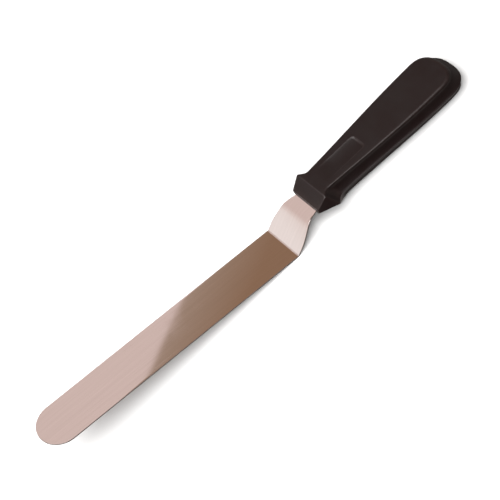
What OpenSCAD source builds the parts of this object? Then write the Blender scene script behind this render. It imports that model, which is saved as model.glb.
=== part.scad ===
// Offset spatula: one cranked stainless strip, held between two moulded handle halves.
// Everything is laid out in a design frame: the heel bend at the origin, the blade flat along -X,
// the handle above and along +X, and the whole object mirror-symmetric about Y = 0.
// The finished object is then tipped back about the heel until the handle's butt touches the table,
// which is how it rests, and moved so that the origin is the bottom centre of its box.

/* [Blade] */
// Length of the blade from the heel bend to the tip
blade_length = 203; // [180:1:230]
// Width of the blade
blade_width = 32; // [30:0.5:36]
// Thickness of the stainless strip
strip_thickness = 1; // [0.8:0.1:1.2]

/* [Shank] */
// Angle at which the shank rises from the blade
shank_angle = 47; // [42:1:52]
// Length of the shank between the corners of its two bends
shank_length = 24; // [22:0.5:28]
// Inner radius of the sharp bend at the heel
heel_radius = 1.5; // [1:0.25:2.5]
// Inner radius of the round bend at the top of the shank
crown_radius = 12; // [9:0.5:13]
// Length of strip from the corner of the upper bend to the handle
neck_length = 8.7; // [7.5:0.1:10]
// Width of the shank where it enters the handle
shank_end_width = 20.8; // [18:0.2:22]

/* [Tang] */
// Length of the tang inside the handle
tang_length = 88; // [76:1:100]
// Width of the tang at its far end
tang_end_width = 11; // [10:0.5:14]
// Diameter of the holes in the tang
peg_hole_d = 5; // [4:0.1:6]
// Gap between a moulded peg and the tang's hole, on the radius
peg_gap = 0.1; // [0.05:0.05:0.2]

/* [Handle] */
// Angle between the handle and the blade
handle_angle = 8.6; // [6:0.1:10]
// Length of the handle from its front lip to its butt
handle_length = 134.2; // [125:0.1:145]
// Thickness of the lower handle half at its waist, where it is thinnest
waist_thickness = 8.95; // [8.4:0.05:9.6]
// How much thicker the upper half is than the lower one
upper_extra = 0.7; // [0:0.1:1]
// Extra thickness of each half towards the two ends
waist_rise = 0.65; // [0:0.05:1]
// Width of the handle's joint line at the butt
butt_width = 38.2; // [36:0.2:40]
// Width of the handle's joint line at the neck
neck_width = 29.2; // [27:0.2:31]
// Width of the upper face at the butt
butt_face_width = 32.6; // [30:0.2:34]
// Width of the upper face at the neck
neck_face_width = 21; // [19:0.2:23]
// Width of the lower face at the butt
lower_butt_width = 30.8; // [29:0.2:32]
// Width of the lower face at the neck
lower_neck_width = 22; // [20:0.2:24]
// Width across the front block at the joint line
block_width = 38.6; // [36:0.2:40]
// Radius along the edges of the upper and lower faces
edge_radius = 1.2; // [0.8:0.1:1.6]

/* [Thumb panel] */
// Length of the recessed panel
panel_length = 36; // [30:0.5:42]
// Width of the recessed panel
panel_width = 12.8; // [10:0.2:14]
// Depth of the recessed panel
panel_depth = 0.5; // [0.3:0.1:0.8]

/* [Hidden] */

$fn = 64;
cut = 60;                   // a size larger than anything that it cuts through
fit_gap = 0.05;             // gap round the tang's edges in its pocket
heel_steps = 10;
crown_steps = 16;

// ---------------------------------------------------------------- strip, seen from the side
function along(a) = [cos(a), sin(a)];
function across(a) = [-sin(a), cos(a)];

mid_heel = heel_radius + strip_thickness / 2;
mid_crown = crown_radius + strip_thickness / 2;
crown_corner = shank_length * along(shank_angle);
lip = crown_corner + neck_length * along(handle_angle);
tang_end = lip + tang_length * along(handle_angle);

// Centre of the bend at a corner where the strip turns from angle a0 to angle a1
function bend_side(a0, a1) = a1 > a0 ? 1 : -1;
function bend_centre(corner, a0, a1, r) =
    corner - r * tan(abs(a1 - a0) / 2) * along(a0) + bend_side(a0, a1) * r * across(a0);

// A station is a point of the strip's mid line and the angle that the strip has there
function bend_stations(corner, a0, a1, r, steps) =
    [for (i = [0:steps])
        let (a = a0 + (a1 - a0) * i / steps)
        [bend_centre(corner, a0, a1, r) - bend_side(a0, a1) * r * across(a), a]];

stations = concat(
    [[[-blade_length, 0], 0]],
    bend_stations([0, 0], 0, shank_angle, mid_heel, heel_steps),
    bend_stations(crown_corner, shank_angle, handle_angle, mid_crown, crown_steps),
    [[tang_end, handle_angle]]);

function strip_side(side) = [for (s = stations) s[0] + side * strip_thickness / 2 * across(s[1])];
function backwards(list) = [for (i = [len(list) - 1:-1:0]) list[i]];

// ---------------------------------------------------------------- strip, seen from above
taper_start = 5;            // x at which the shank starts to narrow
taper_steps = 14;
shoulder_length = 7;        // length of full-width shank inside the handle
shoulder_step = 1.2;        // how far the tang steps in behind the shoulder, each side

// Narrowing from 0 to 1, gentle at both ends
function shank_taper(s) = (s + s * s * (3 - 2 * s)) / 2;
function shank_half_width(s) =
    (blade_width - shank_taper(s) * (blade_width - shank_end_width)) / 2;
shank_edge = [for (i = [0:taper_steps])
    let (s = i / taper_steps)
    [taper_start + s * (lip[0] - taper_start), shank_half_width(s)]];
shoulder_x = lip[0] + shoulder_length * cos(handle_angle);
tang_half = tang_end_width / 2;
tang_edge = [
    [shoulder_x, shank_end_width / 2],
    [shoulder_x, shank_end_width / 2 - shoulder_step],
    [tang_end[0] - tang_half / 2, tang_half],
    [tang_end[0], tang_half / 2]];
plan_edge = concat([[-blade_length, blade_width / 2]], shank_edge, tang_edge);
function other_side(list) = [for (p = backwards(list)) [p[0], -p[1]]];

// What is cut off a square-ended blade to leave its round tip
module tip_corners() {
    translate([-blade_length + blade_width / 2, 0])
        difference() {
            translate([-blade_width, -blade_width]) square([blade_width, 2 * blade_width]);
            circle(d = blade_width);
        }
}

module strip() {
    difference() {
        intersection() {
            rotate([90, 0, 0])
                linear_extrude(height = cut, center = true)
                    polygon(concat(strip_side(1), backwards(strip_side(-1))));
            translate([0, 0, -cut])
                linear_extrude(height = 2 * cut)
                    polygon(concat(plan_edge, other_side(plan_edge)));
        }
        linear_extrude(height = cut, center = true) tip_corners();
    }
}

// ---------------------------------------------------------------- handle
// Handle frame: u from the front lip to the butt, v across, w up from the joint plane.
peg_places = [30, 66];
peg_d = peg_hole_d - 2 * peg_gap;
peg_height = 5;             // how far a peg stands above the joint plane
socket_depth = 5.4;
neck_steps = 6;
body_steps = 14;
butt_steps = 12;
round_steps = 3;

lip_height = 2.85;          // height of the front face above the joint plane
facet_run = 8.3;            // length of the sloping front facet
waist_at = 62;              // where the handle is thinnest
waist_reach = 54;           // distance from the waist to where the whole rise is reached

function mix(a, b, k) = a + (b - a) * k;

// Sizes of an outline: half width at the lip; place and half width of the block's corner; place and
// half width of the neck; place and half width where the round butt starts; place of its end
JOINT = [13.5, 13.6, block_width / 2, 20.5, neck_width / 2, 113.5, butt_width / 2, handle_length];
UPPER = [11.2, facet_run + 0.3, 14.2, 14, neck_face_width / 2,
    112, butt_face_width / 2, handle_length - 6.8];
LOWER = [5.5, 15.5, 12.7, 26, lower_neck_width / 2,
    113, lower_butt_width / 2, handle_length - 1.2];
// How each face's flare sweeps in behind the block, and how square its butt is
UPPER_BENDS = [2.2, 2.7];
LOWER_BENDS = [1.4, 3.3];

// One side of the outline at level k, from 0 at the joint line to 1 at the face, drawn in by inset.
// It runs from the lip to the middle of the butt.
face_swell = 0.7;           // how much sooner the faces widen behind the neck than the joint line
function swell(t, k) = mix((1 - cos(180 * t)) / 2, sin(90 * t), face_swell * k);
function outline_side(face, bends, k, inset) =
    let (z = [for (i = [0:len(JOINT) - 1]) mix(JOINT[i], face[i], k)],
         sweep = mix(UPPER_BENDS[0], bends[0], k), p = 2 / mix(UPPER_BENDS[1], bends[1], k))
    concat(
        [[0, z[0] - inset], [z[1], z[2] - inset]],
        [for (i = [1:neck_steps])
            let (s = i / neck_steps)
            [mix(z[1], z[3], s), mix(z[4], z[2], pow(1 - s, sweep)) - inset]],
        [for (i = [1:body_steps])
            let (t = i / body_steps)
            [mix(z[3], z[5], t), mix(z[4], z[6], swell(t, k)) - inset]],
        [for (i = [1:butt_steps])
            let (a = 90 * i / butt_steps)
            [z[5] + (z[7] - z[5] - inset) * pow(sin(a), p),
             (z[6] - inset) * pow(max(cos(a), 0), p)]]);

// Height of the lower face from the joint plane, least at the waist
function face_height(u) =
    waist_thickness + waist_rise * pow((min(u, JOINT[5]) - waist_at) / waist_reach, 2);

// Levels of the loft: the joint line, then the round edge up to the face, as [k, inset]
edge_start = 1 - edge_radius / waist_thickness;
levels = concat([[0, 0]],
    [for (i = [0:round_steps])
        let (a = 90 * i / round_steps)
        [mix(edge_start, 1, sin(a)), edge_radius * (1 - cos(a))]]);

function ring(face, bends, extra, k, inset) =
    let (side = outline_side(face, bends, k, inset), n = len(side))
    [for (i = [0:2 * n - 2])
        let (p = side[min(i, 2 * n - 2 - i)])
        [p[0], i < n ? p[1] : -p[1], k * (face_height(p[0]) + extra)]];

side_size = 2 + neck_steps + body_steps + butt_steps;
ring_size = 2 * side_size - 1;
top = (len(levels) - 1) * ring_size;
loft_faces = concat(
    [[for (i = [ring_size - 1:-1:0]) i]],
    [for (l = [0:len(levels) - 2], i = [0:ring_size - 1])
        let (j = (i + 1) % ring_size, a = l * ring_size, b = a + ring_size)
        each [[a + i, b + j, b + i], [a + i, a + j, b + j]]],
    [for (i = [0:side_size - 3])
        let (far = top + ring_size - 1 - i)
        [top + i, top + i + 1, far - 1, far]],
    [[top + side_size - 2, top + side_size - 1, top + side_size]]);

module rounded_panel(length, width, radius) {
    translate([radius, -width / 2]) square([length - 2 * radius, width]);
    translate([0, -width / 2 + radius]) square([length, width - 2 * radius]);
    for (u = [radius, length - radius], v = [-1, 1])
        translate([u, v * (width / 2 - radius)]) circle(r = radius);
}

panel_at = 16;              // place of the recessed panel
panel_tilt = atan((face_height(panel_at) - face_height(panel_at + panel_length)) / panel_length);

// A half with its joint plane at w = 0; extra is how much thicker it is than the lower half
module half_body(face, bends, extra) {
    facet_angle = atan((face_height(facet_run) + extra - lip_height) / facet_run);
    difference() {
        polyhedron(
            points = [for (l = levels) each ring(face, bends, extra, l[0], l[1])],
            faces = loft_faces);
        // sloping facet that runs down to the front lip
        translate([0, 0, lip_height])
            rotate([0, -facet_angle, 0])
                translate([-cut, -cut / 2, 0]) cube([2 * cut, cut, cut]);
        // recessed thumb panel
        translate([panel_at, 0, face_height(panel_at) + extra - panel_depth])
            rotate([0, panel_tilt, 0])
                linear_extrude(height = cut) rounded_panel(panel_length, panel_width, 3);
    }
}

// The part of the tang inside the handle, as a flat pocket outline in the handle frame
pocket_edge = [
    [-1, shank_end_width / 2 + fit_gap],
    [shoulder_length + fit_gap, shank_end_width / 2 + fit_gap],
    [shoulder_length + fit_gap, shank_end_width / 2 - shoulder_step + 2 * fit_gap],
    [tang_length + fit_gap, tang_half + 2 * fit_gap]];

// Each half takes half of the tang's thickness, so the two halves clamp it between them
module tang_pocket() {
    linear_extrude(height = strip_thickness, center = true)
        polygon(concat(pocket_edge, other_side(pocket_edge)));
}

module pegs(diameter, height) {
    for (u = peg_places)
        translate([u, 0, -strip_thickness]) cylinder(d = diameter, h = height + strip_thickness);
}

// ---------------------------------------------------------------- resting place
module in_handle_frame() {
    translate([lip[0], 0, lip[1]]) rotate([0, -handle_angle, 0]) children();
}

// The table touches the outside of the heel bend and the round lower edge of the butt
heel_centre = bend_centre([0, 0], 0, shank_angle, mid_heel);
heel_outer = heel_radius + strip_thickness;
butt_centre = lip + (LOWER[7] - edge_radius) * along(handle_angle)
    - (face_height(LOWER[7]) - edge_radius) * across(handle_angle);
touch = butt_centre - heel_centre;
rest_angle = atan2(touch[1], touch[0]) + asin((heel_outer - edge_radius) / norm(touch));
rest_lift = heel_centre[0] * sin(rest_angle) - heel_centre[1] * cos(rest_angle) + heel_outer;

butt_tip = lip + handle_length * along(handle_angle);
x_butt = butt_tip[0] * cos(rest_angle) + butt_tip[1] * sin(rest_angle);
x_tip = -blade_length * cos(rest_angle) - strip_thickness / 2 * sin(rest_angle);

module resting() {
    translate([-(x_butt + x_tip) / 2, 0, rest_lift])
        rotate([0, rest_angle, 0]) children();
}

// ---------------------------------------------------------------- pieces
module blade() {
    color([0.78, 0.72, 0.70]) resting() {
        difference() {
            strip();
            in_handle_frame() pegs(peg_hole_d, peg_height);
        }
    }
}

module handle_upper_half() {
    color([0.19, 0.16, 0.16]) resting() in_handle_frame() {
        difference() {
            half_body(UPPER, UPPER_BENDS, upper_extra);
            tang_pocket();
            pegs(peg_d, socket_depth);
        }
    }
}

module handle_lower_half() {
    color([0.16, 0.13, 0.13]) resting() in_handle_frame() {
        difference() {
            mirror([0, 0, 1]) half_body(LOWER, LOWER_BENDS, 0);
            tang_pocket();
        }
        pegs(peg_d, peg_height);
    }
}

blade();
handle_upper_half();
handle_lower_half();
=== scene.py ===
import math

import bmesh
import bpy
from collections import namedtuple
from mathutils import Matrix, Vector


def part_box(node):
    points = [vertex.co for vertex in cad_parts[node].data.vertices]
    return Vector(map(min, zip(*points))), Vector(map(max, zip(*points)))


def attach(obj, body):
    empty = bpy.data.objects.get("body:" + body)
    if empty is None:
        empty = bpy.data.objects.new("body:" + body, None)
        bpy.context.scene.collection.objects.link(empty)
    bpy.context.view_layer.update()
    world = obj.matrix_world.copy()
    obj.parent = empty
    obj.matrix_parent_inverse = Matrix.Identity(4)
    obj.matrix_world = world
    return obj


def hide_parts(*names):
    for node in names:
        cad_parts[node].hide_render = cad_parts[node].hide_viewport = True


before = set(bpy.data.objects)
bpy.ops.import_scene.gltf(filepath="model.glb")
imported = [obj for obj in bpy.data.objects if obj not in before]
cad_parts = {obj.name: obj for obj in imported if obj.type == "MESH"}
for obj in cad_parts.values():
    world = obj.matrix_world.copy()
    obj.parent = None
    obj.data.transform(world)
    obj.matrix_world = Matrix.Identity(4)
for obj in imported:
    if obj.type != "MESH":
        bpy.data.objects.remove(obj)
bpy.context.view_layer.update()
scene = bpy.context.scene

# ------------------------------------------------------------------ driving dimensions, in millimetres
MM = 0.001

# The strip: blade, shank with its two bends, neck, and the tang with its shoulder and holes
blade_length = 203.0
blade_width = 32.0
strip_thickness = 1.0
shank_angle = 47.0
shank_length = 24.0
heel_radius = 1.5
crown_radius = 12.0
neck_length = 8.7
shank_end_width = 20.8
taper_start = 5.0
tang_length = 88.0
tang_end_width = 11.0
shoulder_length = 7.0
shoulder_step = 1.2
peg_places = (30.0, 66.0)
peg_hole_d = 5.0
peg_d = 4.8
peg_height = 5.0
socket_depth = 5.4

# The handle: its tilt from the blade, its side profile and the thumb panel
handle_angle = 8.6
handle_length = 134.2
waist_thickness = 8.95
upper_extra = 0.7
waist_rise = 0.65
waist_at = 62.0
waist_reach = 54.0
edge_radius = 1.2
lip_height = 2.85
facet_run = 8.3
panel_at = 16.0
panel_length = 36.0
panel_width = 12.8
panel_radius = 3.0

# The handle's outline at the joint line and on its upper and lower faces: half width at the lip; place
# and half width of the block's corner; place and half width of the neck; place and half width where the
# round butt starts; place of its end. The bends are the powers of the neck's sweep and of the butt.
JOINT = (13.5, 13.6, 19.3, 20.5, 14.6, 113.5, 19.1, handle_length)
UPPER = (11.2, facet_run, 14.2, 14.0, 10.5, 112.0, 16.3, 127.4)
LOWER = (5.5, 15.5, 12.7, 26.0, 11.0, 113.0, 15.4, 133.0)
JOINT_BENDS = (2.2, 2.7)
UPPER_BENDS = (2.2, 2.7)
LOWER_BENDS = (1.4, 3.3)
face_swell = 0.7

# Shapes that only the finished object has: the rounding of the strip's edges, the flanks' hollow, the
# small roll along the joint line (with the share of the flank's height where it fades out, and the
# share of the neck that neither of them reaches), the thumb panel's crisp wall, the dish inside it,
# and the length over which the panel's front fades out
strip_rim = 0.15
flank_hollow = 1.0
roll_out = 0.3
roll_height = 0.9
roll_fade = 0.7
neck_clear = 0.2
panel_wall = 0.22
panel_dish = 0.6
panel_fade = 16.0
# How far each crisp edge is rounded; the face's own edge grows from the neck to the butt
EDGE_GROWS = (20.0, 120.0)
EDGE = {"facet": 0.45, "neck": 1.1, "butt": 2.2, "block": 0.6, "lip": 0.4, "crease": 0.5, "seam": 0.16}

Half = namedtuple("Half", "name face bends extra up")
UPPER_HALF = Half("handle_upper", UPPER, UPPER_BENDS, upper_extra, 1)
LOWER_HALF = Half("handle_lower", LOWER, LOWER_BENDS, 0.0, -1)


def mix(a, b, k):
    return a + (b - a) * k


def smooth_step(a, b, x):
    s = min(max((x - a) / (b - a), 0.0), 1.0)
    return s * s * (3 - 2 * s)


# ------------------------------------------------------------------ the strip's mid line, from the side
def along(angle):
    return Vector((math.cos(math.radians(angle)), math.sin(math.radians(angle))))


def across(angle):
    return Vector((-math.sin(math.radians(angle)), math.cos(math.radians(angle))))


mid_heel = heel_radius + strip_thickness / 2
mid_crown = crown_radius + strip_thickness / 2
crown_corner = shank_length * along(shank_angle)
lip = crown_corner + neck_length * along(handle_angle)


def bend_centre(corner, a0, a1, radius):
    side = 1 if a1 > a0 else -1
    back = radius * math.tan(math.radians(abs(a1 - a0) / 2))
    return corner - back * along(a0) + side * radius * across(a0)


def bend(corner, a0, a1, radius, steps):
    """Stations (point, angle) round a bend of the mid line."""
    side = 1 if a1 > a0 else -1
    centre = bend_centre(corner, a0, a1, radius)
    angles = [mix(a0, a1, i / steps) for i in range(steps + 1)]
    return [(centre - side * radius * across(a), a) for a in angles]


def straight(start, end, angle, steps):
    """Stations between two points, without the points themselves."""
    return [(start.lerp(end, i / steps), angle) for i in range(1, steps)]


# ------------------------------------------------------------------ how it rests, as the CAD model has it
def face_height(u):
    return waist_thickness + waist_rise * ((min(u, JOINT[5]) - waist_at) / waist_reach) ** 2


heel_centre = bend_centre(Vector((0, 0)), 0, shank_angle, mid_heel)
heel_outer = heel_radius + strip_thickness
butt_centre = (lip + (LOWER[7] - edge_radius) * along(handle_angle)
               - (face_height(LOWER[7]) - edge_radius) * across(handle_angle))
touch = butt_centre - heel_centre
rest_angle = math.atan2(touch.y, touch.x) + math.asin((heel_outer - edge_radius) / touch.length)
rest_cos, rest_sin = math.cos(rest_angle), math.sin(rest_angle)
rest_lift = heel_centre.x * rest_sin - heel_centre.y * rest_cos + heel_outer
rest_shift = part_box("blade")[0].x / MM + blade_length * rest_cos + strip_thickness / 2 * rest_sin


def rest(x, y, z):
    """A point of the design frame, heel bend at the origin and blade level, as it lies at rest (metres)."""
    along_table = x * rest_cos + z * rest_sin + rest_shift
    above_table = -x * rest_sin + z * rest_cos + rest_lift
    return Vector((along_table, y, above_table)) * MM


def in_handle(u, v, w):
    """A point of the handle frame: u from the lip to the butt, v across, w up from the joint plane."""
    p = lip + u * along(handle_angle) + w * across(handle_angle)
    return rest(p.x, v, p.y)


# ------------------------------------------------------------------ mesh helpers
def mesh_object(name, points, faces):
    """A closed mesh object: doubled points are joined and the faces turned outwards."""
    bm = bmesh.new()
    verts = [bm.verts.new(p) for p in points]
    for f in faces:
        bm.faces.new([verts[i] for i in f])
    bmesh.ops.remove_doubles(bm, verts=bm.verts, dist=1e-7)
    bmesh.ops.dissolve_degenerate(bm, edges=bm.edges, dist=1e-8)
    bmesh.ops.recalc_face_normals(bm, faces=bm.faces)
    mesh = bpy.data.meshes.new(name)
    bm.to_mesh(mesh)
    bm.free()
    mesh.shade_smooth()
    obj = bpy.data.objects.new(name, mesh)
    scene.collection.objects.link(obj)
    return obj


def grid_faces(rows, columns, start=0):
    faces = []
    for r in range(rows - 1):
        for c in range(columns - 1):
            a = start + r * columns + c
            faces.append((a, a + 1, a + columns + 1, a + columns))
    return faces


def bake_modifiers(obj):
    """Turns the object's modifiers into its mesh."""
    bpy.context.view_layer.update()
    graph = bpy.context.evaluated_depsgraph_get()
    mesh = bpy.data.meshes.new_from_object(obj.evaluated_get(graph))
    obj.modifiers.clear()
    obj.data = mesh
    return obj


def combine(obj, tool, operation):
    """Cuts the tool out of the object ("DIFFERENCE") or joins it on ("UNION")."""
    step = obj.modifiers.new("combine", "BOOLEAN")
    step.operation = operation
    step.solver = "EXACT"
    step.object = tool
    bake_modifiers(obj)
    bpy.data.objects.remove(tool)
    return obj


def finish_shading(obj, angle):
    """Smooth over the roundings, crisp at edges above the angle, with flat faces kept truly flat."""
    obj.data.shade_smooth()
    obj.data.set_sharp_from_angle(angle=math.radians(angle))
    even = obj.modifiers.new("even", "WEIGHTED_NORMAL")
    even.mode = "FACE_AREA"
    even.weight = 50
    even.keep_sharp = True
    bake_modifiers(obj)


def paint(obj, name, values):
    """Stores one number per vertex for the material to read."""
    layer = obj.data.attributes.new(name, "FLOAT", "POINT")
    layer.data.foreach_set("value", values)


def round_bar(name, u, low, high, diameter, steps=48):
    """A closed round bar at u in the handle frame, from level low to level high."""
    points = []
    for w in (low, high):
        for i in range(steps):
            a = 2 * math.pi * i / steps
            points.append(in_handle(u + diameter / 2 * math.cos(a), diameter / 2 * math.sin(a), w))
    faces = [(i, (i + 1) % steps, steps + (i + 1) % steps, steps + i) for i in range(steps)]
    faces += [tuple(range(steps)), tuple(range(steps, 2 * steps))]
    return mesh_object(name, points, faces)


# ------------------------------------------------------------------ blade, shank and tang
def plan_half_width(x):
    """Half width of the strip from the blade to the shoulder, seen from above."""
    s = min(max((x - taper_start) / (lip.x - taper_start), 0.0), 1.0)
    taper = (s + s * s * (3 - 2 * s)) / 2
    return mix(blade_width, shank_end_width, taper) / 2


def strip_stations():
    """Stations (point, angle, half width) from the round tip's centre to the end of the tang."""
    heel = bend(Vector((0, 0)), 0, shank_angle, mid_heel, 12)
    crown = bend(crown_corner, shank_angle, handle_angle, mid_crown, 28)
    shoulder = lip + shoulder_length * along(handle_angle)
    tang_end = lip + tang_length * along(handle_angle)
    tip_centre = Vector((-blade_length + blade_width / 2, 0))
    line = [(tip_centre, 0)]
    line += straight(tip_centre, heel[0][0], 0, 48)
    line += heel
    line += straight(heel[-1][0], crown[0][0], shank_angle, 10)
    line += crown
    line += straight(crown[-1][0], shoulder, handle_angle, 6)
    stations = [(p, a, plan_half_width(p.x)) for p, a in line]
    root = shank_end_width / 2 - shoulder_step
    stations.append((shoulder, handle_angle, shank_end_width / 2))
    stations.append((shoulder + 0.05 * along(handle_angle), handle_angle, root))
    tang_half = tang_end_width / 2
    last = tang_end - tang_half / 2 * along(handle_angle)
    for i in range(1, 25):
        stations.append((shoulder.lerp(last, i / 24), handle_angle, mix(root, tang_half, i / 24)))
    stations.append((tang_end, handle_angle, tang_half / 2))
    return stations


def strip_profile(spine, half_width, outward, up):
    """Points from the upper spine out round the edge to the lower spine, for one place along the rim."""
    half, rim = strip_thickness / 2, strip_rim
    edge = spine + half_width * outward
    shelf = edge - rim * outward
    points = [spine.lerp(shelf, c) + half * up for c in (0, 0.25, 0.5, 0.7, 0.85, 0.94, 1)]
    for i in range(1, 6):
        a = math.radians(90 * i / 6)
        points.append(shelf + rim * math.sin(a) * outward + (half - rim + rim * math.cos(a)) * up)
    points += [edge + (half - rim) * up, edge - (half - rim) * up]
    mirrored = [p - 2 * (p - spine).dot(up) * up for p in points[:-2]]
    return points + mirrored[::-1]


def make_blade():
    stations = strip_stations()
    pole = Vector((stations[0][0].x, 0, 0))
    tip_steps = 24

    def side_profile(station, side):
        point, angle, half_width = station
        up = Vector((across(angle).x, 0, across(angle).y))
        return strip_profile(Vector((point.x, 0, point.y)), half_width, Vector((0, side, 0)), up)

    def tip_profile(angle):
        outward = Vector((-math.cos(angle), math.sin(angle), 0))
        return strip_profile(pole, blade_width / 2, outward, Vector((0, 0, 1)))

    # from the tang's end along one side, round the tip and back along the other side
    profiles = [side_profile(station, -1) for station in stations[::-1]]
    profiles += [tip_profile(math.pi / 2 * i / tip_steps) for i in range(1 - tip_steps, tip_steps)]
    profiles += [side_profile(station, 1) for station in stations]
    columns = len(profiles[0])
    points = [rest(*p) for row in profiles for p in row]
    faces = grid_faces(len(profiles), columns)
    last = (len(profiles) - 1) * columns
    faces.append(tuple(range(columns)) + tuple(range(last + columns - 2, last, -1)))
    blade = mesh_object("blade_strip", points, faces)
    for u in peg_places:
        combine(blade, round_bar("peg_hole", u, -2, 2, peg_hole_d), "DIFFERENCE")
    finish_shading(blade, 50)

    # how far the surface turns away from the strip's flat faces, for the rougher cut edges, whose dark
    # colour is partly painted shade
    fully_cut, fully_flat = 0.86, 0.99
    blade_up = (rest(0, 0, 1) - rest(0, 0, 0)) / MM
    heel_x = rest(0, 0, 0).x
    values = []
    for v in blade.data.vertices:
        flat = abs(v.normal.dot(blade_up)) if v.co.x < heel_x else math.hypot(v.normal.x, v.normal.z)
        values.append(1 - smooth_step(fully_cut, fully_flat, flat))
    paint(blade, "cut_edge_and_shade", values)
    return blade


# ------------------------------------------------------------------ handle halves
def outline(half, place, k, hollow):
    """Point (u, v) of one side of a half's outline at level k, 0 at the joint line and 1 at the face.
    place is (stretch, s): the stretch of the outline and how far along it."""
    z = [mix(a, b, k) for a, b in zip(JOINT, half.face)]
    sweep = mix(JOINT_BENDS[0], half.bends[0], k)
    power = 2 / mix(JOINT_BENDS[1], half.bends[1], k)
    dish = hollow * 4 * k * (1 - k)
    stretch, s = place
    if stretch == "lip":
        return mix(0, z[1], s), mix(z[0], z[2], s)
    if stretch == "neck":
        return mix(z[1], z[3], s), mix(z[4], z[2], (1 - s) ** sweep) - dish * smooth_step(neck_clear, 1, s)
    if stretch == "body":
        flare = mix((1 - math.cos(math.pi * s)) / 2, math.sin(math.pi / 2 * s), face_swell * k)
        return mix(z[3], z[5], s), mix(z[4], z[6], flare) - dish
    a = math.pi / 2 * s
    across_butt, along_butt = z[6] - dish, z[7] - z[5] - dish
    return z[5] + along_butt * math.sin(a) ** power, across_butt * max(math.cos(a), 0) ** power


def place_of(face, u):
    """The place on the outline whose point on the face is at u, in front of the round butt."""
    if u <= face[1]:
        return "lip", u / face[1]
    if u <= face[3]:
        return "neck", (u - face[1]) / (face[3] - face[1])
    return "body", (u - face[3]) / (face[5] - face[3])


def thickness(half, u):
    return face_height(u) + half.extra


def top_profile(half, u):
    """Height of the outer side along the handle: the sloping front facet, then the waisted face."""
    return min(mix(lip_height, thickness(half, facet_run), u / facet_run), thickness(half, u))


def panel_drop(u, v):
    """How deep the thumb panel is at a point of the face: a crisp rounded rim, and a dish inside it
    that fades out towards the front."""
    half_l, half_w = panel_length / 2, panel_width / 2
    du = abs(u - panel_at - half_l) - (half_l - panel_radius)
    dv = abs(v) - (half_w - panel_radius)
    outside = math.hypot(max(du, 0), max(dv, 0)) + min(max(du, dv), 0) - panel_radius
    wall_foot, wall_brow, dish_rim, fade_start = -0.35, 0.25, 1.2, -1
    wall = panel_wall * (1 - smooth_step(wall_foot, wall_brow, outside))
    dish = panel_dish * max(1 - (v / half_w) ** 2, 0) * smooth_step(0, dish_rim, -outside)
    return (wall + dish) * smooth_step(panel_at + fade_start, panel_at + panel_fade, u)


def row_places(face):
    """Places along the outline, denser at the ends of the thumb panel and at the corners."""
    panel_end = panel_at + panel_length
    before_end = (-0.9, -0.5, -0.3, -0.1, 0.1, 0.3, 0.5, 0.8, 1.2, 1.7, 2.3, 3.0)
    us = [0, 2.1, 4.2, 6.3, facet_run]
    us += [facet_run + d for d in (1.6, 3.2, 4.8, 6.0)]
    us += [panel_at + 0.8 * i for i in range(10)]
    us += [panel_end - d for d in before_end]
    us += [panel_at + 8 + 2 * i for i in range(13)]
    us += [panel_end + 2 + 2.4 * i for i in range(25)]
    us += [face[1]]
    kept = [0]
    for u in sorted(us):
        if u - kept[-1] > 0.15 and u < face[5] - 0.8:
            kept.append(u)
    return [place_of(face, u) for u in kept] + [("body", 1.0)] + [("butt", i / 22) for i in range(1, 23)]


# Across the face from the middle, and up the flank as a share of its height
COLUMNS = (0, 1.7, 3.4, 4.2, 4.9, 5.4, 5.8, 6.1, 6.3, 6.5, 6.7, 7.0, 7.4)
LEVELS = (0, 0.03, 0.055, 0.08, 0.11, 0.16, 0.22, 0.3, 0.4, 0.5, 0.6, 0.7, 1)


def wall_column(half, place):
    """Points (u, v, w) up the side at one place, from the joint line to the crisp outer edge."""
    k_top = 1.0
    if place[0] == "lip":
        for _ in range(40):
            u, v = outline(half, place, k_top, 0)
            k_top = min(top_profile(half, u) / thickness(half, u), 1.0)
    amount = {"lip": 0, "neck": smooth_step(neck_clear, 1, place[1])}.get(place[0], 1)
    points = []
    for level in LEVELS:
        k = level * k_top
        u, v = outline(half, place, k, flank_hollow)
        w = k * thickness(half, u)
        rolled = (1 - max(1 - w / roll_height, 0) ** 2) * (1 - smooth_step(roll_fade, 1, level))
        inwards = roll_out * amount * rolled
        if place[0] == "butt":
            a = math.pi / 2 * place[1]
            u, v = u - inwards * math.sin(a), v - inwards * math.cos(a)
        else:
            v -= inwards
        points.append((u, max(v, 0), w))
    return points


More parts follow.
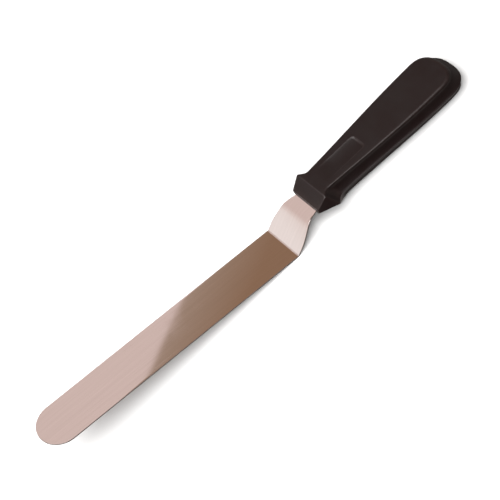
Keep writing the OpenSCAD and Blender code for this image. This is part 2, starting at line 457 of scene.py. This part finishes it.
def half_surface(half):
    """Points and faces of a half before its edges are rounded, and its walls, as points (u, v, w)."""
    places = row_places(half.face)
    walls = [wall_column(half, p) for p in places]
    pole = places.index(("body", 1.0))
    pole_u, pole_v, pole_w = walls[pole][-1]
    edge_clear = 2.8  # more than the largest rounding of the face's edge

    # each row runs from the joint line up the flank and across the face to the middle
    rows = []
    for i, wall in enumerate(walls):
        u, v, _ = wall[-1]
        row = list(wall)
        if i <= pole:
            across_face = [v - edge_clear] + list(COLUMNS[::-1])
            row += [(u, c, top_profile(half, u) - panel_drop(u, c)) for c in across_face]
        else:
            across_face = [pole_v - edge_clear] + list(COLUMNS[::-1])
            row += [(mix(pole_u, u, c / pole_v), v * c / pole_v, pole_w) for c in across_face]
        rows.append(row)

    points, faces = [], []
    for side in (1, -1):
        faces += grid_faces(len(rows), len(rows[0]), len(points))
        points += [(u, side * v, w) for row in rows for u, v, w in row]

    # front lip
    shares = [v / walls[0][-1][1] for u, v, w in rows[0][len(LEVELS) - 1:]]
    shares += [-s for s in shares[::-1][1:]]
    faces += grid_faces(len(walls[0]), len(shares), len(points))
    points += [(u, v * s, w) for u, v, w in walls[0] for s in shares]

    # joint plane
    rim = [wall[0] for wall in walls]
    lip_points = [(0, rim[0][1] * s, 0) for s in shares[::-1][1:-1]]
    ring = rim + [(u, -v, w) for u, v, w in rim[::-1][1:]] + lip_points
    faces.append(tuple(range(len(points), len(points) + len(ring))))
    points += ring
    return points, faces, rows, walls, places


def tang_pocket():
    """The tang's pocket: half of the strip's thickness in each half, a hair wider than the tang."""
    gap = 0.05
    shoulder_half, tang_half = shank_end_width / 2 + gap, tang_end_width / 2 + 2 * gap
    side = [(-1, shoulder_half), (shoulder_length + gap, shoulder_half),
            (shoulder_length + gap, shoulder_half - shoulder_step + gap), (tang_length + gap, tang_half)]
    ring = side + [(u, -v) for u, v in side[::-1]]
    half = strip_thickness / 2
    points = [in_handle(u, v, w) for w in (-half, half) for u, v in ring]
    n = len(ring)
    faces = [(i, (i + 1) % n, n + (i + 1) % n, n + i) for i in range(n)]
    faces += [tuple(range(n)), tuple(range(n, 2 * n))]
    return mesh_object("pocket", points, faces)


def mark_edges(obj, half, rows, walls, places):
    """Says how far each crisp edge is rounded, as a share of the largest rounding."""
    def key(p):
        return tuple(round(c, 6) for c in p)

    top = len(LEVELS) - 1
    fronts = [i for i in range(len(places)) if places[i][0] != "butt"]
    block_row = min(fronts, key=lambda i: abs(walls[i][-1][0] - half.face[1]))
    crease_row = min(fronts, key=lambda i: abs(walls[i][-1][0] - facet_run))
    on_wall, on_crease = {}, set()
    for side in (1, -1):
        for i, wall in enumerate(walls):
            for j, (u, v, w) in enumerate(wall):
                on_wall.setdefault(key(in_handle(u, side * v, half.up * w)), []).append((i, j))
        for u, v, w in rows[crease_row][top:]:
            on_crease.add(key(in_handle(u, side * v, half.up * w)))

    def rounding(a, b):
        radius = EDGE["crease"] if a in on_crease and b in on_crease else 0
        for i0, j0 in on_wall.get(a, []):
            for i1, j1 in on_wall.get(b, []):
                if j0 == j1 == top and abs(i0 - i1) == 1:
                    u = walls[max(i0, i1)][top][0]
                    along_face = mix(EDGE["neck"], EDGE["butt"], smooth_step(*EDGE_GROWS, u))
                    start = smooth_step(block_row, block_row + 4, max(i0, i1))
                    radius = max(radius, mix(EDGE["facet"], along_face, start))
                if i0 == i1 and abs(j0 - j1) == 1 and i0 in (0, block_row):
                    radius = max(radius, EDGE["lip"] if i0 == 0 else EDGE["block"])
                if j0 == j1 == 0 and abs(i0 - i1) == 1:
                    radius = max(radius, EDGE["seam"])
        return radius

    keys = [key(v.co) for v in obj.data.vertices]
    weight = obj.data.attributes.new("bevel_weight_edge", "FLOAT", "EDGE")
    for e in obj.data.edges:
        weight.data[e.index].value = rounding(keys[e.vertices[0]], keys[e.vertices[1]]) / EDGE["butt"]


def make_half(half):
    points, faces, rows, walls, places = half_surface(half)
    obj = mesh_object(half.name, [in_handle(u, v, half.up * w) for u, v, w in points], faces)
    combine(obj, tang_pocket(), "DIFFERENCE")
    for u in peg_places:
        if half.up == 1:
            combine(obj, round_bar("socket", u, -1, socket_depth, peg_d), "DIFFERENCE")
        else:
            combine(obj, round_bar("peg", u, -1, peg_height, peg_d), "UNION")
    mark_edges(obj, half, rows, walls, places)
    bevel = obj.modifiers.new("edges", "BEVEL")
    bevel.limit_method = "WEIGHT"
    bevel.offset_type = "OFFSET"
    bevel.width = EDGE["butt"] * MM
    bevel.segments = 5
    bevel.use_clamp_overlap = False
    bake_modifiers(obj)
    finish_shading(obj, 40)
    paint(obj, "worn_edge", edge_sharpness(obj))
    return obj


def edge_sharpness(obj):
    """For each vertex, 0 on flat ground and 1 where the surface turns quickly."""
    bm = bmesh.new()
    bm.from_mesh(obj.data)
    values = []
    for v in bm.verts:
        turns = [e.calc_face_angle(0) for e in v.link_edges]
        values.append(smooth_step(0.06, 0.25, max(turns, default=0)))
    bm.free()
    return values


blade = make_blade()
upper = make_half(UPPER_HALF)
lower = make_half(LOWER_HALF)
for piece, node, slot in ((blade, "blade", "stainless_blade"),
                          (upper, "handle_upper_half", "handle_plastic"),
                          (lower, "handle_lower_half", "handle_plastic")):
    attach(piece, "root")
    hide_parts(node)


# ------------------------------------------------------------------ materials
class Nodes:
    """Short names for building a node tree."""

    def __init__(self, tree):
        self.tree = tree

    def add(self, kind, inputs=None, **settings):
        node = self.tree.nodes.new(kind)
        for name, value in settings.items():
            setattr(node, name, value)
        for name, value in (inputs or {}).items():
            if isinstance(value, bpy.types.NodeSocket):
                self.tree.links.new(value, node.inputs[name])
            else:
                node.inputs[name].default_value = value
        return node

    def place(self, stretch=(1, 1, 1)):
        """The point being shaded, in metres, stretched along the axes."""
        where = self.add("ShaderNodeTexCoord").outputs["Object"]
        return self.add("ShaderNodeVectorMath", {0: where, 1: stretch}, operation="MULTIPLY").outputs[0]

    def noise(self, vector, scale, detail=2.0, roughness=0.5):
        values = {"Vector": vector, "Scale": scale, "Detail": detail, "Roughness": roughness}
        return self.add("ShaderNodeTexNoise", values).outputs["Fac"]

    def ramp(self, value, low, high, to_low, to_high, smooth=True):
        kind = "SMOOTHSTEP" if smooth else "LINEAR"
        values = {"Value": value, "From Min": low, "From Max": high, "To Min": to_low, "To Max": to_high}
        return self.add("ShaderNodeMapRange", values, interpolation_type=kind).outputs["Result"]

    def mix(self, factor, a, b):
        node = self.add("ShaderNodeMix", data_type="RGBA")
        for socket, value in ((node.inputs[0], factor), (node.inputs[6], a), (node.inputs[7], b)):
            if isinstance(value, bpy.types.NodeSocket):
                self.tree.links.new(value, socket)
            else:
                socket.default_value = value
        return node.outputs[2]

    def math(self, operation, a, b=0.0):
        return self.add("ShaderNodeMath", {0: a, 1: b}, operation=operation).outputs[0]

    def number(self, name):
        """A number stored on the mesh's vertices."""
        return self.add("ShaderNodeAttribute", attribute_name=name).outputs["Fac"]

    def bump(self, height, distance, normal=None):
        values = {"Height": height, "Distance": distance, "Strength": 1.0}
        if normal:
            values["Normal"] = normal
        return self.add("ShaderNodeBump", values).outputs["Normal"]


def new_material(name):
    material = bpy.data.materials.new(name)
    material.use_nodes = True
    tree = material.node_tree
    shader = next(n for n in tree.nodes if n.type == "BSDF_PRINCIPLED")
    return material, Nodes(tree), shader


def steel():
    """Polished stainless strip: near-mirror faces with a fine lengthwise grain, a few hairline
    scratches, faint smears, the slight waviness of rolled sheet, and rough-cut edges whose dark colour is
    partly painted shade for the dark reflection along them."""
    material, n, shader = new_material("stainless_steel")
    link = n.tree.links.new
    shader.inputs["Metallic"].default_value = 1.0
    cut_and_shade = n.number("cut_edge_and_shade")
    grain = n.noise(n.place((12, 2600, 12)), 1.0, 3.0)
    hairs = n.ramp(n.noise(n.place((22, 1500, 22)), 1.0, 1.0), 0.70, 0.76, 0, 1)
    smear = n.ramp(n.noise(n.place(), 38.0, 4.0, 0.6), 0.5, 0.75, 0, 1)
    tone = n.noise(n.place((20, 700, 20)), 1.0, 2.0)
    face = n.mix(tone, (0.665, 0.645, 0.635, 1), (0.735, 0.715, 0.705, 1))
    # cut edges: rougher steel, and darkened with painted shade that stands for the dark reflection along
    # the edges
    link(n.mix(cut_and_shade, face, (0.17, 0.145, 0.135, 1)), shader.inputs["Base Color"])
    polish = n.ramp(grain, 0.3, 0.7, 0.016, 0.034, smooth=False)
    polish = n.math("ADD", polish, n.math("MULTIPLY", hairs, 0.05))
    polish = n.math("ADD", polish, n.math("MULTIPLY", smear, 0.02))
    link(n.math("ADD", polish, n.math("MULTIPLY", cut_and_shade, 0.42)), shader.inputs["Roughness"])
    wave = n.bump(n.noise(n.place((1, 1.6, 1)), 16.0, 1.0), 0.00002)
    rough_cut = n.math("MULTIPLY", n.noise(n.place(), 2600.0, 2.0), cut_and_shade)
    link(n.bump(rough_cut, 0.00004, wave), shader.inputs["Normal"])
    return material


def plastic():
    """Warm black polypropylene: a fine moulded grain, faint mottling, and edges rubbed smoother
    and a little paler by handling."""
    material, n, shader = new_material("black_polypropylene")
    link = n.tree.links.new
    worn = n.number("worn_edge")
    mottle = n.noise(n.place(), 70.0, 3.0, 0.6)
    speck = n.noise(n.place(), 2400.0, 2.0)
    body = n.mix(mottle, (0.0016, 0.0004, 0.0003, 1), (0.0026, 0.0007, 0.0006, 1))
    body = n.mix(n.ramp(speck, 0.35, 0.75, 0, 0.5), body, (0.0042, 0.0022, 0.0020, 1))
    rubbed = n.math("MULTIPLY", worn, n.ramp(n.noise(n.place(), 260.0, 3.0), 0.3, 0.65, 0.35, 1))
    link(n.mix(rubbed, body, (0.0060, 0.0034, 0.0030, 1)), shader.inputs["Base Color"])
    gloss = n.ramp(mottle, 0.3, 0.7, 0.48, 0.42)
    link(n.math("SUBTRACT", gloss, n.math("MULTIPLY", rubbed, 0.06)), shader.inputs["Roughness"])
    shader.inputs["Specular IOR Level"].default_value = 0.18
    grain = n.bump(n.noise(n.place(), 1900.0, 3.0, 0.6), 0.00003)
    link(n.bump(mottle, 0.0002, grain), shader.inputs["Normal"])
    return material


def pale_floor():
    """A plain floor; far from the object, where the light falls off, it glows to stay as pale."""
    material, n, shader = new_material("pale_floor")
    distance = n.add("ShaderNodeVectorMath", {0: n.place()}, operation="LENGTH").outputs["Value"]
    n.tree.links.new(n.ramp(distance, 0.6, 2.0, 0, 1), shader.inputs["Emission Strength"])
    shader.inputs["Emission Color"].default_value = (1.0, 0.99, 0.98, 1)
    tone = n.mix(n.noise(n.place(), 9.0, 3.0), (0.33, 0.33, 0.33, 1), (0.34, 0.34, 0.34, 1))
    n.tree.links.new(tone, shader.inputs["Base Color"])
    shader.inputs["Roughness"].default_value = 0.9
    shader.inputs["Specular IOR Level"].default_value = 0.2
    return material


def dress(obj, material):
    obj.data.materials.clear()
    obj.data.materials.append(material)


dress(blade, steel())
black = plastic()
dress(upper, black)
dress(lower, black)


# ------------------------------------------------------------------ floor, light and camera
def make_floor():
    side = 6.0
    bm = bmesh.new()
    bm.faces.new([bm.verts.new((x * side, y * side, 0)) for x, y in ((-1, -1), (1, -1), (1, 1), (-1, 1))])
    mesh = bpy.data.meshes.new("floor")
    bm.to_mesh(mesh)
    bm.free()
    floor = bpy.data.objects.new("floor", mesh)
    scene.collection.objects.link(floor)
    dress(floor, pale_floor())
    # the room below stands in for the floor in reflections, which are darker than this floor
    floor.visible_glossy = False
    floor.visible_diffuse = False


def make_key_light():
    """One large soft light, high over the near side of the blade."""
    data = bpy.data.lights.new("key", "AREA")
    data.shape = "SQUARE"
    distance = 2.0
    data.size = 2.4
    data.energy = 285
    light = bpy.data.objects.new("key", data)
    scene.collection.objects.link(light)
    away = Vector((-0.42, -0.30, 1.0)).normalized()
    light.location = distance * away
    light.rotation_euler = away.to_track_quat("Z", "Y").to_euler()
    light.visible_camera = False


def make_room():
    """The studio that the steel and the plastic reflect. A pale wall stands behind and to the left, white
    low down and pinkish higher up, and high up only the band of it that the steel mirrors is lit. Beyond
    the wall's edge is the dim warm side of the room, with a paler far wall near the horizon. Below the
    horizon it is dim, and straight down as pale as a lit table."""
    wall_edge = Vector((0.515, -0.771, 0.375))
    white, rosy, pink = (1.13, 1.01, 0.975, 1), (1.0, 0.84, 0.79, 1), (0.86, 0.665, 0.615, 1)
    ceiling, unlit_wall = (0.06, 0.05, 0.045, 1), (0.08, 0.068, 0.062, 1)
    tan, brown, dim = (0.46, 0.325, 0.25, 1), (0.345, 0.20, 0.125, 1), (0.07, 0.055, 0.05, 1)
    under, table = (0.09, 0.075, 0.07, 1), (0.62, 0.55, 0.52, 1)
    far_pale = (0.62, 0.56, 0.53, 1)
    band_middle = 0.59

    world = bpy.data.worlds.new("studio")
    world.use_nodes = True
    n = Nodes(world.node_tree)
    direction = n.add("ShaderNodeTexCoord").outputs["Generated"]
    parts = n.add("ShaderNodeSeparateXYZ", {0: direction})
    height = parts.outputs["Z"]
    past_edge = n.add("ShaderNodeVectorMath", {0: direction, 1: wall_edge}, operation="DOT_PRODUCT")
    beyond = past_edge.outputs["Value"]

    aside = n.math("ABSOLUTE", n.math("SUBTRACT", parts.outputs["Y"], band_middle))
    off_band = n.math("MULTIPLY", n.ramp(aside, 0.13, 0.24, 0, 1), n.ramp(height, 0.3, 0.42, 0, 1))
    wall = n.mix(n.ramp(height, 0.363, 0.378, 0, 1), white, rosy)
    wall = n.mix(n.ramp(height, 0.40, 0.74, 0, 1), wall, pink)
    wall = n.mix(n.ramp(height, 0.82, 0.89, 0, 1), wall, ceiling)
    wall = n.mix(off_band, wall, unlit_wall)

    warm_side = n.mix(n.ramp(beyond, 0, 0.03, 0, 1, smooth=False), tan, brown)
    warm_side = n.mix(n.ramp(beyond, 0.03, 0.6, 0, 1), warm_side, dim)
    colour = n.mix(n.ramp(beyond, -0.0028, 0.0008, 0, 1), wall, warm_side)

    lower = n.mix(n.ramp(height, -0.85, -0.45, 1, 0), under, table)
    colour = n.mix(n.ramp(height, -0.12, -0.02, 1, 0), colour, lower)
    level = n.math("ABSOLUTE", height)
    near_level, ahead = n.ramp(level, 0.2, 0.45, 1, 0), n.ramp(parts.outputs["X"], 0.35, 0.6, 0, 1)
    far_wall = n.math("MULTIPLY", ahead, near_level)
    colour = n.mix(far_wall, colour, far_pale)
    background = world.node_tree.nodes["Background"]
    n.tree.links.new(colour, background.inputs["Color"])
    background.inputs["Strength"].default_value = 1.0
    scene.world = world


def make_camera():
    """The viewpoint, as the azimuth, elevation and roll of the view."""
    azimuth, elevation, roll = math.radians(-10.46), math.radians(53.73), math.radians(-36.63)
    distance = 1.1879
    aim = Vector((0.00047, 0.01286, 0.00381))
    right = Vector((math.cos(azimuth), math.sin(azimuth), 0))
    back = Vector((math.sin(azimuth) * math.cos(elevation), -math.cos(azimuth) * math.cos(elevation),
                   math.sin(elevation)))
    turned_right = math.cos(roll) * right + math.sin(roll) * back.cross(right)
    turned_up = back.cross(turned_right)
    data = bpy.data.cameras.new("camera")
    data.sensor_width = 36.0
    data.lens = 130.4
    data.clip_start, data.clip_end = 0.01, 50
    camera = bpy.data.objects.new("camera", data)
    scene.collection.objects.link(camera)
    turn = Matrix((turned_right, turned_up, back)).transposed().to_4x4()
    camera.matrix_world = Matrix.Translation(aim + distance * back) @ turn
    scene.camera = camera


make_floor()
make_key_light()
make_room()
make_camera()
scene.view_settings.view_transform = "Standard"
